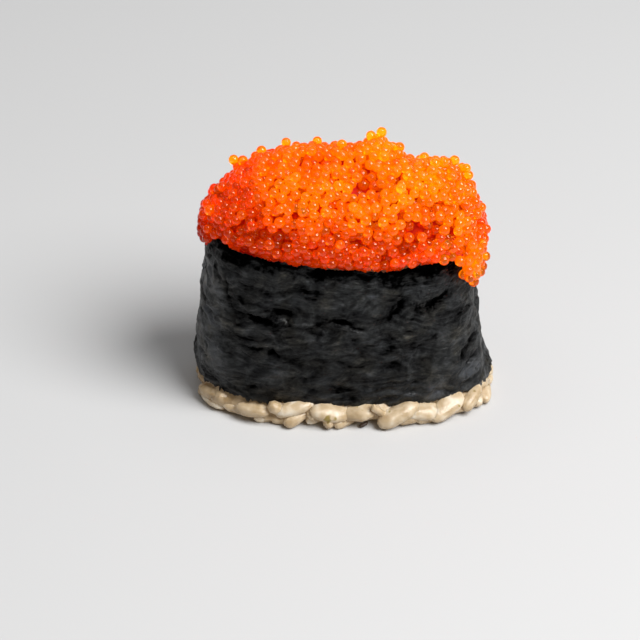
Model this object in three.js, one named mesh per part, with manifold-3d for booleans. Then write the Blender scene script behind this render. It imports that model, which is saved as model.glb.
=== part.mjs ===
// Gunkan sushi: an oval block of pressed rice, a strip of nori wrapped round it that stands above
// the rice, and a tall heap of flying-fish roe that fills the well and swells over its edge.
// Units are millimetres. +X is the long way of the sushi, -Y its front and +Z up.
// The origin is on the underside, at the middle of the whole.
import * as THREE from "three";
import { mergeVertices } from "three/addons/utils/BufferGeometryUtils.js";
import Module from "manifold-3d";

const wasm = await Module();
wasm.setup();

// ---------- Driving dimensions ----------

// The plan of every layer is an oval between an ellipse (2) and a rectangle (large numbers).
const NORI_SQUARENESS = 2.55;
const RICE_SQUARENESS = 2.9;
const HEAP_SQUARENESS = 2.25;

// Nori: a strip wrapped once round the rice, wider at its foot than at its mouth. The middle is
// how far that end's oval stands to the right.
const NORI_FOOT = { halfLength: 26.1, halfWidth: 13.4, middle: -0.8 };
const NORI_MOUTH = { halfLength: 23.05, halfWidth: 12.2, middle: -0.85 };
const NORI_THICKNESS = 0.6;

// Both edges of the strip: the height above the underside of the rice, how much that rises for
// each millimetre to the right, and the waves on the way round.
const NORI_LOWER_EDGE = { height: 3.9, tilt: 0, waves: 6, wave: 0.35, phase: -0.9 };
const NORI_UPPER_EDGE = { height: 32.2, tilt: -0.045, waves: 2, wave: 0.75, phase: 1.13 };
const NORI_BULGE = 0.35; // how far the sheet stands out a quarter of the way up

// Swells of the damp sheet: their waves on the way round, the turn of those on the way up, in
// radians, and how far they stand in and out.
const NORI_SWELLS = [
  { round: 7, up: 9, reach: 0.11 },
  { round: 7, up: -1, reach: 0.11 },
  { round: 13, up: -9, reach: 0.15 },
];
const NORI_LAP = { from: 0.13, merged: 0.17, end: 0.3 }; // the double layer, as shares of the way round
const NORI_COLUMNS = 48;
const NORI_ROWS = 5;

// Rice: the block inside the nori, and the grains that show below its edge.
const RICE_FOOT = { halfLength: 25.9, halfWidth: 14.2 };
const RICE_TOP_ROW = 3.93; // how far up the rows of the nori the rice reaches
const RICE_UNDERCUT = 1.1; // how far the underside draws in from the foot
const RICE_SHOULDER = 0.3; // how far the foot draws in again below the nori
const GRAIN = { length: 6.4, width: 2.3, thickness: 2.0 };
const GRAIN_SIZES = { least: 0.92, most: 1.08 }; // as shares of the full size

// The rows of grains, and the strays that lean against the lower edge of the nori: the height of
// their middles, how far those stand out of the foot, the largest swing away from the way round
// and the largest tip up or down, both in radians, and how far a grain strays from its place.
const GRAIN_ROWS = [
  { height: 1.15, count: 15, out: 0.5, swing: 0.75, tip: 0.1, stray: 0.25 },
  { height: 2.5, count: 15, out: 0.3, swing: 0.75, tip: 0.22, stray: 0.25 },
  { height: 3.2, count: 3, out: 0.6, swing: 0.4, tip: 0.7, stray: 0.5 },
];

// Roe: the heap above the nori, the plug below it, and its beads.
const BEAD = 1.8; // diameter
const BEAD_PITCH = 2.3; // spacing of the beads over the heap
const BEAD_SCATTER = 0.15; // how far a bead strays from its place, as a share of the pitch
const BEAD_ROW_PITCH = 1.96; // spacing of the rows of beads down the side of the heap
const FIRST_ROW = 0.45; // how far the first row lies down from the crest line, as a share of a row
const FEWEST_BEADS = 8; // in a row
const HEAP_RIM = 33.3; // height of the widest part of the heap
const HEAP_HEIGHT = 12.8; // from the rim to the crest, before its lumps are added
const HEAP = { halfLength: 25.5, halfWidth: 12.4 };
const HEAP_SIDE_FULLNESS = 1.08; // length of the way down the side, against a round quarter's
const HEAP_LEAN = -1.3; // how far the crest stands to the left of the rim
const HEAP_ROUNDNESS = 2.15; // 2 gives an elliptic section, more a squarer one
const HEAP_UNDERSIDE = 30.6;
const HEAP_UNDERCUT = 0.6; // how far that draws in from the rim
const BEAD_RISE = 0.32; // how far a bead's top stands above the plain heap, as a share of a bead
const SADDLE_SINK = 0.11; // how far the surface drops between two beads
const PIT_SINK = 0.2; // how far it drops between three
const PLUG_ROW = 4; // the row of the nori that the foot of the roe reaches down to

// Beads that lie loose on the heap: how far their middles stand above it and by how much that
// varies, as shares of a bead, and how far they stray, as a share of the way round.
const LOOSE_BEADS = { count: 18, rise: 0.42, vary: 0.08, stray: 0.02 };

// Lumps (rise above 0) and hollows (rise below 0) of the heap, by their middle in plan.
const LUMPS = [
  { x: -4, y: 0, spread: 11, rise: 2.3 },
  { x: 7.4, y: 4, spread: 2.2, rise: 3.7 },
  { x: 4, y: -6, spread: 2.2, rise: -1.7 },
  { x: 1.5, y: -9.5, spread: 2.2, rise: -1.2 },
  { x: 13, y: -5, spread: 4, rise: 0.9 },
  { x: 14, y: 3, spread: 3.6, rise: -1.7 },
  { x: 20.5, y: 2, spread: 3, rise: 2.8 },
  { x: 25.5, y: 0, spread: 2.5, rise: -4 },
  { x: -22, y: 0, spread: 4.5, rise: -4.6 },
];

// Drape: the tongue of roe that hangs over the nori at the right of the front. It faces this
// many radians from +X.
const DRAPE = { x: 22.6, y: -6, height: 28.9, width: 6.2, depth: 2.6, length: 8.2, facing: -0.5 };
const DRAPE_BEADS = 15;

const CLEARANCE = 0.3; // between a layer and the next

// Spreads points evenly over a surface, one for each step of this share of a full turn.
const GOLDEN_SHARE = (Math.sqrt(5) - 1) / 2;
const CURVE_STEPS = 48; // points that the length of a row of beads is measured with

// ---------- Random numbers that come out the same each time ----------

function seeded(seed) {
  let state = seed;
  return () => {
    state = (state + 0x6d2b79f5) | 0;
    let mixed = Math.imul(state ^ (state >>> 15), 1 | state);
    mixed = (mixed + Math.imul(mixed ^ (mixed >>> 7), 61 | mixed)) ^ mixed;
    return ((mixed ^ (mixed >>> 14)) >>> 0) / 2 ** 32;
  };
}

const between = (random, least, most) => least + (most - least) * random();
const spread = (random, reach) => between(random, -reach, reach);

// ---------- Plan curves ----------

// An oval seen from above. It starts at +X and runs by +Y, so the front is at share 0.75.
class PlanCurve extends THREE.Curve {
  constructor(halfLength, halfWidth, squareness) {
    super();
    this.arcLengthDivisions = 360;
    this.halfLength = halfLength;
    this.halfWidth = halfWidth;
    this.power = 2 / squareness;
  }

  getPoint(share, target = new THREE.Vector2()) {
    const across = Math.cos(2 * Math.PI * share);
    const along = Math.sin(2 * Math.PI * share);
    return target.set(
      this.halfLength * Math.sign(across) * Math.abs(across) ** this.power,
      this.halfWidth * Math.sign(along) * Math.abs(along) ** this.power,
    );
  }

  // The direction that points out of the oval.
  outwardAt(share) {
    const tangent = this.getTangentAt(share);
    return new THREE.Vector2(tangent.y, -tangent.x);
  }
}

// ---------- Solids ----------

function solidOf(geometry) {
  geometry.deleteAttribute("normal");
  geometry.deleteAttribute("uv");
  const merged = mergeVertices(geometry, 1e-4);
  return new wasm.Manifold(
    new wasm.Mesh({
      numProp: 3,
      vertProperties: merged.attributes.position.array,
      triVerts: new Uint32Array(merged.index.array),
    }),
  );
}

function geometryOf(points, triangles) {
  const geometry = new THREE.BufferGeometry();
  geometry.setAttribute(
    "position",
    new THREE.Float32BufferAttribute(points.flatMap((p) => [p.x, p.y, p.z]), 3),
  );
  geometry.setIndex(triangles);
  return geometry;
}

// The two triangles of each cell between rings of the same count, first ring below the second.
function ringCells(lower, upper, count) {
  const triangles = [];
  for (let i = 0; i < count; i++) {
    const next = (i + 1) % count;
    triangles.push(lower + i, lower + next, upper + next);
    triangles.push(lower + i, upper + next, upper + i);
  }
  return triangles;
}

// A ring of points at one height of the rice's foot, grown by a margin.
function riceRing(height, margin) {
  const curve = riceCurve(margin);
  return Array.from({ length: NORI_COLUMNS }, (_, column) => {
    const place = curve.getPointAt(column / NORI_COLUMNS);
    return new THREE.Vector3(place.x, place.y, height);
  });
}

// A solid through rings of points, given from the lowest to the highest, with closed ends.
function stack(rings) {
  const columns = rings[0].length;
  const points = rings.flat();
  const triangles = [];
  for (let row = 1; row < rings.length; row++) {
    triangles.push(...ringCells((row - 1) * columns, row * columns, columns));
  }
  const foot = points.length;
  const head = foot + 1;
  for (const ring of [rings[0], rings[rings.length - 1]]) {
    const middle = new THREE.Vector3();
    ring.forEach((point) => middle.addScaledVector(point, 1 / columns));
    points.push(middle);
  }
  const last = (rings.length - 1) * columns;
  for (let i = 0; i < columns; i++) {
    const next = (i + 1) % columns;
    triangles.push(foot, next, i);
    triangles.push(head, last + i, last + next);
  }
  return solidOf(geometryOf(points, triangles));
}

// Fusing can seal a small hollow or leave a scrap: the hollow is filled and the scrap dropped.
function largestBody(solid) {
  return solid.decompose().reduce((best, body) => (body.volume() > best.volume() ? body : best));
}

function fuse(solids) {
  return solids.reduce((whole, solid) => whole.add(solid));
}

function placed(geometry, position, rotation, scale) {
  const matrix = new THREE.Matrix4().compose(
    position,
    new THREE.Quaternion().setFromEuler(rotation),
    scale,
  );
  return geometry.applyMatrix4(matrix);
}

// ---------- Nori ----------

// Height of one edge of the nori, which wanders a little on its way round.
function noriEdge(edge, share, x) {
  const turn = 2 * Math.PI * share;
  return edge.height + edge.tilt * x + edge.wave * Math.sin(edge.waves * turn + edge.phase);
}

// How far the damp sheet stands in or out of its plain oval.
function noriRelief(share, rise) {
  const turn = 2 * Math.PI * share;
  const bulge = NORI_BULGE * Math.sin(Math.PI * Math.sqrt(rise));
  return NORI_SWELLS.reduce(
    (relief, swell) => relief + swell.reach * Math.sin(swell.round * turn + swell.up * rise),
    bulge,
  );
}

// The second layer of the lap stands out by a sheet's thickness, and ends in a step.
function noriLap(share) {
  if (share > NORI_LAP.end) {
    return 0;
  }
  return NORI_THICKNESS * THREE.MathUtils.smoothstep(share, NORI_LAP.from, NORI_LAP.merged);
}

function noriPoint(share, rise, inset, outset) {
  const curve = new PlanCurve(
    THREE.MathUtils.lerp(NORI_FOOT.halfLength, NORI_MOUTH.halfLength, rise),
    THREE.MathUtils.lerp(NORI_FOOT.halfWidth, NORI_MOUTH.halfWidth, rise),
    NORI_SQUARENESS,
  );
  const place = curve.getPointAt(share);
  place.addScaledVector(curve.outwardAt(share), noriRelief(share, rise) + outset - inset);
  place.x += THREE.MathUtils.lerp(NORI_FOOT.middle, NORI_MOUTH.middle, rise);
  const lower = noriEdge(NORI_LOWER_EDGE, share, place.x);
  const upper = noriEdge(NORI_UPPER_EDGE, share, place.x);
  return new THREE.Vector3(place.x, place.y, THREE.MathUtils.lerp(lower, upper, rise));
}

// The band, grown by a margin on every side so that the margin can be kept clear of it.
function noriBand(margin) {
  const points = [];
  const triangles = [];
  const ring = (rise, inset, outset, lift) => {
    for (let column = 0; column < NORI_COLUMNS; column++) {
      const share = column / NORI_COLUMNS;
      const point = noriPoint(share, rise, inset, outset + (inset ? 0 : noriLap(share)));
      points.push(point.setZ(point.z + lift));
    }
  };
  const lift = (row) => (row === 0 ? -margin : row === NORI_ROWS ? margin : 0);
  for (let row = 0; row <= NORI_ROWS; row++) {
    ring(row / NORI_ROWS, 0, margin, lift(row));
  }
  for (let row = NORI_ROWS; row >= 0; row--) {
    ring(row / NORI_ROWS, NORI_THICKNESS + margin, 0, lift(row));
  }
  const rings = 2 * (NORI_ROWS + 1);
  for (let row = 0; row < rings; row++) {
    const upper = ((row + 1) % rings) * NORI_COLUMNS;
    triangles.push(...ringCells(row * NORI_COLUMNS, upper, NORI_COLUMNS));
  }
  return solidOf(geometryOf(points, triangles));
}

// The room inside the nori at one of its rows, or between two of them, less the clearance.
function wellRing(row) {
  const ringAt = (level) =>
    Array.from({ length: NORI_COLUMNS }, (_, column) =>
      noriPoint(column / NORI_COLUMNS, level / NORI_ROWS, NORI_THICKNESS + CLEARANCE, 0),
    );
  const upper = ringAt(Math.ceil(row));
  return ringAt(Math.floor(row)).map((point, i) => point.lerp(upper[i], row % 1));
}

// ---------- Rice ----------

function riceCurve(margin) {
  return new PlanCurve(RICE_FOOT.halfLength + margin, RICE_FOOT.halfWidth + margin, RICE_SQUARENESS);
}

function riceBlock() {
  const rings = [riceRing(0, -RICE_UNDERCUT), riceRing(GRAIN.thickness / 2, 0)];
  rings.push(riceRing(GRAIN.width, -RICE_SHOULDER));
  for (let row = 0; row < RICE_TOP_ROW; row++) {
    rings.push(wellRing(row));
  }
  rings.push(wellRing(RICE_TOP_ROW));
  return stack(rings);
}

// One grain: a spindle a little flatter than it is wide, with its length along X.
function grainSolid(place, turn, tip, size) {
  const geometry = new THREE.SphereGeometry(0.5, 5, 4).rotateZ(Math.PI / 2);
  const scale = new THREE.Vector3(GRAIN.length, GRAIN.width, GRAIN.thickness).multiplyScalar(size);
  return solidOf(placed(geometry, place, new THREE.Euler(0, tip, turn, "ZYX"), scale));
}

// A grain that swings away from the way round is set further in, so that no tip sticks out.
function grainOnFoot(row, share, random) {
  const swing = spread(random, row.swing);
  const reach = row.out - (Math.abs(Math.sin(swing)) * (GRAIN.length - GRAIN.width)) / 2;
  const curve = riceCurve(reach);
  const place = curve.getPointAt(share);
  const tangent = curve.getTangentAt(share);
  return grainSolid(
    new THREE.Vector3(place.x, place.y, row.height),
    Math.atan2(tangent.y, tangent.x) + swing,
    spread(random, row.tip),
    between(random, GRAIN_SIZES.least, GRAIN_SIZES.most),
  );
}

function grainsRound() {
  const random = seeded(11);
  return GRAIN_ROWS.flatMap((row) =>
    Array.from({ length: row.count }, (_, i) =>
      grainOnFoot(row, (i + 0.5 + spread(random, row.stray)) / row.count, random),
    ),
  );
}

function riceSolid() {
  const table = placed(
    new THREE.BoxGeometry(1, 1, 1),
    new THREE.Vector3(0, 0, -GRAIN.length / 2),
    new THREE.Euler(),
    new THREE.Vector3(4 * RICE_FOOT.halfLength, 4 * RICE_FOOT.halfWidth, GRAIN.length),
  );
  const whole = fuse([riceBlock(), ...grainsRound()]);
  return largestBody(whole.subtract(noriBand(CLEARANCE)).subtract(solidOf(table)));
}

// ---------- Roe ----------

function heapHeight(x, y) {
  return LUMPS.reduce((height, lump) => {
    const away = (x - lump.x) ** 2 + (y - lump.y) ** 2;
    return height + lump.rise * Math.exp(-away / (2 * lump.spread ** 2));
  }, HEAP_HEIGHT);
}

// A place on the heap: fall is 0 on the crest line and 1 at the rim, share goes round it.
function heapPoint(fall, share) {
  const across = Math.sin((fall * Math.PI) / 2) ** (2 / HEAP_ROUNDNESS);
  const down = Math.cos((fall * Math.PI) / 2) ** (2 / HEAP_ROUNDNESS);
  const crest = HEAP.halfLength - HEAP.halfWidth;
  const curve = new PlanCurve(
    crest + HEAP.halfWidth * across,
    Math.max(HEAP.halfWidth * across, 1e-3),
    THREE.MathUtils.lerp(2, HEAP_SQUARENESS, fall),
  );
  const place = curve.getPointAt(share);
  const height = HEAP_RIM + heapHeight(place.x, place.y) * down;
  return new THREE.Vector3(place.x + HEAP_LEAN * down, place.y, height);
}

// Joins two closed rows of beads with different counts, walking both by their share.
function stitch(upper, lower) {
  const triangles = [];
  let i = 0;
  let j = 0;
  const upperShare = (k) => upper.phase + k / upper.count;
  const lowerShare = (k) => lower.phase + k / lower.count;
  while (i < upper.count || j < lower.count) {
    const a = upper.first + (i % upper.count);
    const b = lower.first + (j % lower.count);
    const stepUpper = i < upper.count && (j === lower.count || upperShare(i + 1) < lowerShare(j + 1));
    if (stepUpper) {
      triangles.push([a, b, upper.first + ((i + 1) % upper.count)]);
      i += 1;
    } else {
      triangles.push([a, b, lower.first + ((j + 1) % lower.count)]);
      j += 1;
    }
  }
  return triangles;
}

// The rows of bead tops, from the crest down to the underside of the overhang.
function beadRows() {
  const random = seeded(5);
  const rows = [];
  const points = [];
  const sideLength = (Math.PI / 4) * (HEAP.halfWidth + HEAP_HEIGHT) * HEAP_SIDE_FULLNESS;
  const rowCount = Math.round(sideLength / BEAD_ROW_PITCH);
  for (let row = 0; row <= rowCount; row++) {
    const fall = (row + FIRST_ROW) / (rowCount + FIRST_ROW);
    const length = new THREE.CatmullRomCurve3(
      Array.from({ length: CURVE_STEPS }, (_, i) => heapPoint(fall, i / CURVE_STEPS)),
      true,
    ).getLength();
    const count = Math.max(Math.round(length / BEAD_PITCH), FEWEST_BEADS);
    const phase = (row % 2) * (0.5 / count);
    rows.push({ first: points.length, count, phase });
    for (let i = 0; i < count; i++) {
      const share = (phase + (i + spread(random, BEAD_SCATTER)) / count + 1) % 1;
      const drift = row && row < rowCount ? spread(random, BEAD_SCATTER) / rowCount : 0;
      points.push(heapPoint(fall + drift, share));
    }
  }
  return { rows, points };
}

// Every triangle of bead tops gets a pit in its middle and a saddle on each side between two
// beads, so that each bead stands up as a low boss of twelve facets.
function beadedShell() {
  const { rows, points } = beadRows();
  const cells = [];
  for (let row = 1; row < rows.length; row++) {
    cells.push(...stitch(rows[row - 1], rows[row]));
  }
  const smooth = geometryOf(points, cells.flat());
  smooth.computeVertexNormals();
  const normals = points.map((_, i) =>
    new THREE.Vector3().fromBufferAttribute(smooth.attributes.normal, i),
  );
  const all = points.map((point, i) => point.clone().addScaledVector(normals[i], BEAD * BEAD_RISE));
  const triangles = [];
  const saddles = new Map();
  const sunk = (corners, sink) => {
    const place = new THREE.Vector3();
    const out = new THREE.Vector3();
    corners.forEach((corner) => {
      place.addScaledVector(points[corner], 1 / corners.length);
      out.addScaledVector(normals[corner], 1 / corners.length);
    });
    all.push(place.addScaledVector(out.normalize(), -sink));
    return all.length - 1;
  };
  const saddle = (a, b) => {
    const key = Math.min(a, b) + "-" + Math.max(a, b);
    if (!saddles.has(key)) {
      saddles.set(key, sunk([a, b], BEAD * SADDLE_SINK));
    }
    return saddles.get(key);
  };
  for (const cell of cells) {
    const pit = sunk(cell, BEAD * PIT_SINK);
    cell.forEach((corner, side) => {
      const next = cell[(side + 1) % 3];
      const middle = saddle(corner, next);
      triangles.push(corner, middle, pit);
      triangles.push(middle, next, pit);
    });
  }
  return { all, triangles, rows, saddle };
}

// The beaded shell, closed across the crest and drawn in under the overhang to a flat underside.
function heapSolid() {
  const { all, triangles, rows, saddle } = beadedShell();
  const crest = rows[0];
  const rim = rows[rows.length - 1];
  const onCrest = (i) => crest.first + ((i + crest.count) % crest.count);
  for (let i = 0; i < crest.count / 2; i++) {
    const right = [onCrest(i), onCrest(i + 1)];
    const left = [onCrest(-i), onCrest(-i - 1)];
    closeStrip(triangles, right, left, saddle);
  }
  const lower = [];
  for (let i = 0; i < rim.count; i++) {
    const corner = rim.first + i;
    const next = rim.first + ((i + 1) % rim.count);
    lower.push(corner, saddle(corner, next));
  }
  const drawnIn = all.length;
  const curve = new PlanCurve(
    HEAP.halfLength - HEAP_UNDERCUT,
    HEAP.halfWidth - HEAP_UNDERCUT,
    HEAP_SQUARENESS,
  );
  for (let i = 0; i < rim.count; i++) {
    const place = curve.getPointAt(((i + 0.5) / rim.count + rim.phase) % 1);
    all.push(new THREE.Vector3(place.x, place.y, HEAP_UNDERSIDE));
  }
  const middle = all.length;
  all.push(new THREE.Vector3(0, 0, HEAP_UNDERSIDE));
  for (let i = 0; i < rim.count; i++) {
    const previous = drawnIn + ((i + rim.count - 1) % rim.count);
    const corner = lower[2 * i];
    const gap = lower[2 * i + 1];
    const next = lower[(2 * i + 2) % lower.length];
    triangles.push(corner, previous, drawnIn + i);
    triangles.push(corner, drawnIn + i, gap);
    triangles.push(gap, drawnIn + i, next);
    triangles.push(previous, middle, drawnIn + i);
  }
  return solidOf(geometryOf(all, triangles));
}

// Two facing edges of the crest are joined by a cell, or by a triangle where they meet.
function closeStrip(triangles, right, left, saddle) {
  const corners = [...new Set([right[0], right[1], left[1], left[0]])];
  if (corners.length < 3) {
    return;
  }
  const edges = corners.map((corner, i) => [corner, corners[(i + 1) % corners.length]]);
  const loop = edges.flatMap(([from, to]) => [from, saddle(from, to)]);
  for (let i = 1; i + 1 < loop.length; i++) {
    triangles.push(loop[0], loop[i], loop[i + 1]);
  }
}

// A bead, turned by its place so that no two lie alike.
function bead(place) {
  const geometry = new THREE.IcosahedronGeometry(BEAD / 2, 0);
  geometry.rotateX(place.x);
  geometry.rotateY(place.y);
  return solidOf(geometry.translate(place.x, place.y, place.z));
}

// The direction out of the heap: its sides are those of a quarter round, and its ends a long one's.
function heapOutward(place) {
  const slender = (HEAP.halfWidth / HEAP.halfLength) ** 2;
  return new THREE.Vector3(place.x * slender, place.y, place.z - HEAP_RIM + BEAD / 2).normalize();
}

// Beads that lie loose on the heap, spread evenly over it by the golden share.
function looseBeads() {
  const random = seeded(23);
  return Array.from({ length: LOOSE_BEADS.count }, (_, i) => {
    const fall = Math.sqrt((i + 0.5) / LOOSE_BEADS.count);
    const share = (i * GOLDEN_SHARE + spread(random, LOOSE_BEADS.stray) + 1) % 1;
    const place = heapPoint(fall, share);
    const rise = LOOSE_BEADS.rise + spread(random, LOOSE_BEADS.vary);
    return bead(place.addScaledVector(heapOutward(place), BEAD * rise));
  });
}

// The tongue of roe over the nori: a flattened core with its beads round it.
function drape() {
  const middle = new THREE.Vector3(DRAPE.x, DRAPE.y, DRAPE.height);
  const turn = new THREE.Euler(0, 0, DRAPE.facing + Math.PI / 2);
  const half = new THREE.Vector3(DRAPE.width, DRAPE.depth, DRAPE.length).multiplyScalar(0.5);
  const core = solidOf(placed(new THREE.SphereGeometry(1, 8, 6), middle, turn, half));
  const beads = Array.from({ length: DRAPE_BEADS }, (_, i) => {
    const height = 1 - (2 * (i + 0.5)) / DRAPE_BEADS;
    const around = i * 2 * Math.PI * GOLDEN_SHARE;
    const level = Math.sqrt(1 - height ** 2);
    const place = new THREE.Vector3(level * Math.cos(around), level * Math.sin(around), height);
    return bead(place.multiply(half).applyEuler(turn).add(middle));
  });
  return fuse([core, ...beads]);
}

function roeSolid() {
  const plug = stack([wellRing(PLUG_ROW), wellRing(NORI_ROWS)]);
  const whole = fuse([plug, heapSolid(), drape(), ...looseBeads()]);
  return largestBody(whole.subtract(noriBand(CLEARANCE)));
}

// ---------- The sushi ----------

function meshOf(name, solid, material) {
  const { vertProperties, triVerts } = solid.getMesh();
  const geometry = new THREE.BufferGeometry();
  geometry.setAttribute("position", new THREE.BufferAttribute(vertProperties, 3));
  geometry.setIndex(new THREE.BufferAttribute(triVerts, 1));
  geometry.computeVertexNormals();
  const mesh = new THREE.Mesh(geometry, material);
  mesh.name = name;
  return mesh;
}

const riceMaterial = new THREE.MeshStandardMaterial({ color: 0xe0cba8, roughness: 0.45, metalness: 0 });
const noriMaterial = new THREE.MeshStandardMaterial({ color: 0x1d1f1d, roughness: 0.5, metalness: 0 });
const roeMaterial = new THREE.MeshStandardMaterial({ color: 0xf86a0e, roughness: 0.15, metalness: 0 });

const sushi = new THREE.Group();
sushi.add(meshOf("rice", riceSolid(), riceMaterial));
sushi.add(meshOf("nori", noriBand(0), noriMaterial));
sushi.add(meshOf("roe", roeSolid(), roeMaterial));

const extent = new THREE.Box3().setFromObject(sushi);
const middle = extent.getCenter(new THREE.Vector3());
sushi.position.set(-middle.x, -middle.y, -extent.min.z);

export default sushi;
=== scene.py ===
# %% [markdown]
# # A gunkan sushi
# Three things make this sushi: a block of pressed rice, a strip of nori round it, and a tall heap
# of flying-fish roe on top. The solids of all three come in as a fixed frame. Here each of them is
# dressed: the eggs, the grains and the crumpled sheet are modelled one by one, in metres, where
# the frame says that they are.

import math
import random

import bmesh
import bpy
import numpy as np
from mathutils import Matrix, Vector, noise
from mathutils.bvhtree import BVHTree
from mathutils.kdtree import KDTree


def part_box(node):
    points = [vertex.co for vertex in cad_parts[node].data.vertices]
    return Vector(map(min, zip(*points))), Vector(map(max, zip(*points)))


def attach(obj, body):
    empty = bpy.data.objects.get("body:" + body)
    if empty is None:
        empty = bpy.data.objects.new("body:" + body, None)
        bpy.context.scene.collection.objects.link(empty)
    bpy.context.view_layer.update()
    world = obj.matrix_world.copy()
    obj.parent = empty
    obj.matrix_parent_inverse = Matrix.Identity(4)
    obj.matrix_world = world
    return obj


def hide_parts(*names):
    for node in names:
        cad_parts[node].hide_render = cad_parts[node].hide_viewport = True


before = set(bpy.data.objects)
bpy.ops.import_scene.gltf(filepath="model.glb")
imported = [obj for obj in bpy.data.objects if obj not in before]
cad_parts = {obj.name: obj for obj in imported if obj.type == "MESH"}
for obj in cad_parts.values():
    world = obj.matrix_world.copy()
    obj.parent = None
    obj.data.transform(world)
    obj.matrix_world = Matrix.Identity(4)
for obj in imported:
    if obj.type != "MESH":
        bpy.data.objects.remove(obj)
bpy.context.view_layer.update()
MM = 0.001
print("frame nodes:", sorted(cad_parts))

# %% [markdown]
# ## The camera and the table
# The sushi is seen from its long side, from above, with a long lens from across the table. The
# lens is worked out from how much of the table the picture takes in, so that the distance alone
# sets how strong the perspective is.

# %% Camera
CAMERA_PITCH = math.radians(33)
CAMERA_DISTANCE = 600 * MM
VIEW_WIDTH = 115.3 * MM
AIM = Vector((-4.5, 0, 13.3)) * MM

camera_data = bpy.data.cameras.new("camera")
camera_data.lens = camera_data.sensor_width * CAMERA_DISTANCE / VIEW_WIDTH
camera = bpy.data.objects.new("camera", camera_data)
bpy.context.scene.collection.objects.link(camera)
towards = Vector((0, math.cos(CAMERA_PITCH), -math.sin(CAMERA_PITCH)))
camera.location = AIM - towards * CAMERA_DISTANCE
camera.rotation_euler = towards.to_track_quat("-Z", "Y").to_euler()
camera_data.clip_start = 10 * MM
bpy.context.scene.camera = camera
bpy.context.scene.view_settings.view_transform = "Standard"
print("lens", round(camera_data.lens, 1), "mm")

# %% [markdown]
# ## Small helpers
# Colours are written as the hex values that a colour picker shows, and one function turns them
# into the linear light that the renderer works in. One more function adds a shader or geometry
# node, sets it up and links it, so that a node tree reads as a list of what it is made of.

# %% Colour and node helpers
def linear(hex_colour):
    channels = [int(hex_colour[i : i + 2], 16) / 255 for i in (1, 3, 5)]
    return [c / 12.92 if c <= 0.04045 else ((c + 0.055) / 1.055) ** 2.4 for c in channels] + [1.0]


def add(tree, kind, inputs=None, stops=(), **settings):
    """Adds a node. inputs maps a socket's name or number to a value or to another node's output.

    stops are the (place, hex colour) pairs of a colour ramp.
    """
    node = tree.nodes.new(kind)
    for name, value in settings.items():
        setattr(node, name, value)
    for key, value in (inputs or {}).items():
        if isinstance(value, bpy.types.NodeSocket):
            tree.links.new(value, node.inputs[key])
        else:
            node.inputs[key].default_value = value
    if stops:
        elements = node.color_ramp.elements
        while len(elements) < len(stops):
            elements.new(1.0)
        for element, (place, colour) in zip(elements, stops):
            element.position = place
            element.color = linear(colour)
    return node


def new_material(name):
    material = bpy.data.materials.new(name)
    material.use_nodes = True
    tree = material.node_tree
    tree.nodes.clear()
    return material, tree


# %% Mesh helpers
def new_object(name, points, faces, smooth=True):
    mesh = bpy.data.meshes.new(name)
    mesh.from_pydata([tuple(p) for p in points], [], faces)
    mesh.update()
    mesh.polygons.foreach_set("use_smooth", [smooth] * len(mesh.polygons))
    piece = bpy.data.objects.new(name, mesh)
    bpy.context.scene.collection.objects.link(piece)
    return piece


def evaluated_mesh(piece):
    """The mesh of a piece with its modifiers in it, as a plain mesh."""
    depsgraph = bpy.context.evaluated_depsgraph_get()
    return bpy.data.meshes.new_from_object(
        piece.evaluated_get(depsgraph), preserve_all_data_layers=True, depsgraph=depsgraph
    )


def modify(piece, kind, **settings):
    """Adds a modifier with its settings."""
    modifier = piece.modifiers.new(kind.lower(), kind)
    for name, value in settings.items():
        setattr(modifier, name, value)


def bake_modifiers(piece):
    """Replaces a piece's mesh with what its modifiers make of it."""
    mesh = evaluated_mesh(piece)
    piece.modifiers.clear()
    piece.data = mesh
    return piece


def object_of(name, built):
    """An object, not yet in the scene, from what was built face by face."""
    mesh = bpy.data.meshes.new(name)
    built.to_mesh(mesh)
    built.free()
    return bpy.data.objects.new(name, mesh)


def merged_copy(name, node):
    """A copy of a frame node with its loose triangles joined into one surface."""
    joined = bmesh.new()
    joined.from_mesh(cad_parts[node].data)
    bmesh.ops.remove_doubles(joined, verts=joined.verts, dist=0.001 * MM)
    bmesh.ops.recalc_face_normals(joined, faces=joined.faces)
    piece = object_of(name, joined)
    bpy.context.scene.collection.objects.link(piece)
    return piece


def finish_solid(piece, material):
    """Gives a piece one finish and shades it smooth."""
    piece.data.materials.clear()
    piece.data.materials.append(material)
    piece.data.polygons.foreach_set("use_smooth", [True] * len(piece.data.polygons))
    return piece


def tree_of(mesh):
    """A search tree of a mesh's faces, to find the nearest place on it."""
    return BVHTree.FromPolygons([v.co for v in mesh.vertices], [p.vertices for p in mesh.polygons])


def hand_in(piece, node, replaces=True):
    """Makes a finished piece move with the root body, hides the frame node it replaces, and prints its size.
    """
    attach(piece, "root")
    if replaces:
        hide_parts(node)
    triangles = sum(len(p.vertices) - 2 for p in piece.data.polygons)
    print(piece.name, "-", len(piece.data.vertices), "vertices,", triangles, "triangles")


# %% [markdown]
# ## Geometry Nodes
# Eggs and grains repeat by the hundred, so two small trees make them. The first scatters points
# over a surface, no two closer than an egg allows. The second sets a small mesh on each point,
# with the size and turn stored there, and makes the copies real so that they are plain mesh. A
# loop in Python could copy them too, but a tree is faster and can be opened and tried in Blender.

# %% A tree with named inputs
def new_tree(name, inputs):
    tree = bpy.data.node_groups.new(name, "GeometryNodeTree")
    tree.interface.new_socket("Geometry", in_out="INPUT", socket_type="NodeSocketGeometry")
    for label, kind in inputs:
        tree.interface.new_socket(label, in_out="INPUT", socket_type="NodeSocket" + kind)
    tree.interface.new_socket("Geometry", in_out="OUTPUT", socket_type="NodeSocketGeometry")
    return tree, add(tree, "NodeGroupInput").outputs


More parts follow.
